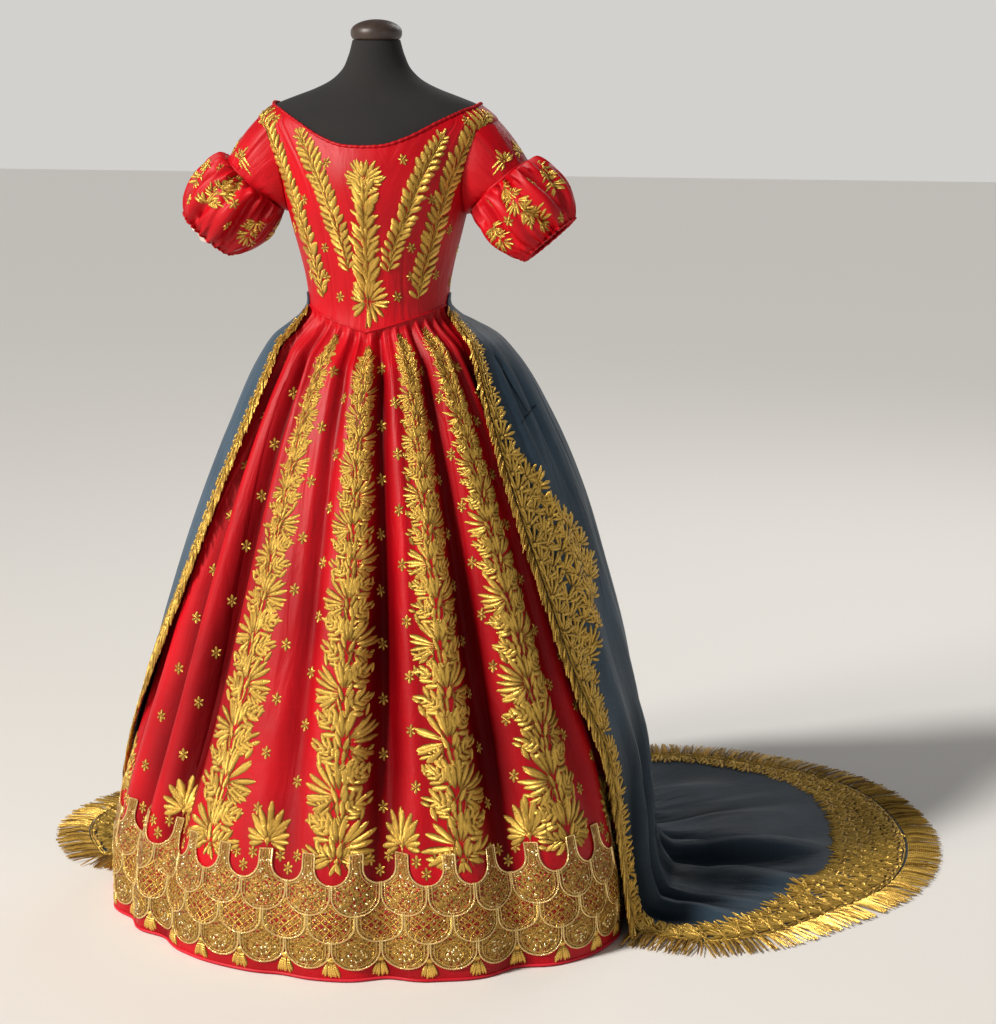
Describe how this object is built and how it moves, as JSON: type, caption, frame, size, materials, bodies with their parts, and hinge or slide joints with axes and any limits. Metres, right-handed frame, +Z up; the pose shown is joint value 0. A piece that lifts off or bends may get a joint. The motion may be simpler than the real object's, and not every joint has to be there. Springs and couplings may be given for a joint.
{
  "type": "court dress on a dress form",
  "caption": "Court dress with pointed bodice, puffed sleeves, gathered bell skirt and fringed train, on a limbless form.",
  "frame": {"origin": "middle of the stand base's underside, on the floor", "axes": "+Z up; the dress faces -Y; +X is the wearer's left"},
  "size_m": [1.5683, 1.2478, 1.4235],
  "materials": {
    "red_silk": "satin",
    "blue_silk": "satin",
    "gold_bullion": "satin",
    "white_lining": "matte",
    "form_cover": "matte",
    "form_cap": "satin",
    "stand_steel": "satin"
  },
  "bodies": {
    "root": {"bodice_front": "red_silk", "bodice_side_front_left": "red_silk", "bodice_side_front_right": "red_silk", "bodice_back_left": "red_silk", "bodice_back_right": "red_silk", "sleeve_upper_left": "red_silk", "sleeve_upper_right": "red_silk", "sleeve_puff_left": "red_silk", "sleeve_puff_right": "red_silk", "sleeve_lining_right": "white_lining", "skirt_front": "red_silk", "skirt_side_left": "red_silk", "skirt_side_right": "red_silk", "skirt_back_left": "red_silk", "skirt_back_right": "red_silk", "train_left": "blue_silk", "train_centre": "blue_silk", "train_right": "blue_silk", "fringe_left_edge": "gold_bullion", "fringe_end": "gold_bullion", "fringe_right_edge": "gold_bullion", "form_torso": "form_cover", "form_cap": "form_cap", "form_pole": "stand_steel", "form_base": "stand_steel"}
  },
  "joints": []
}
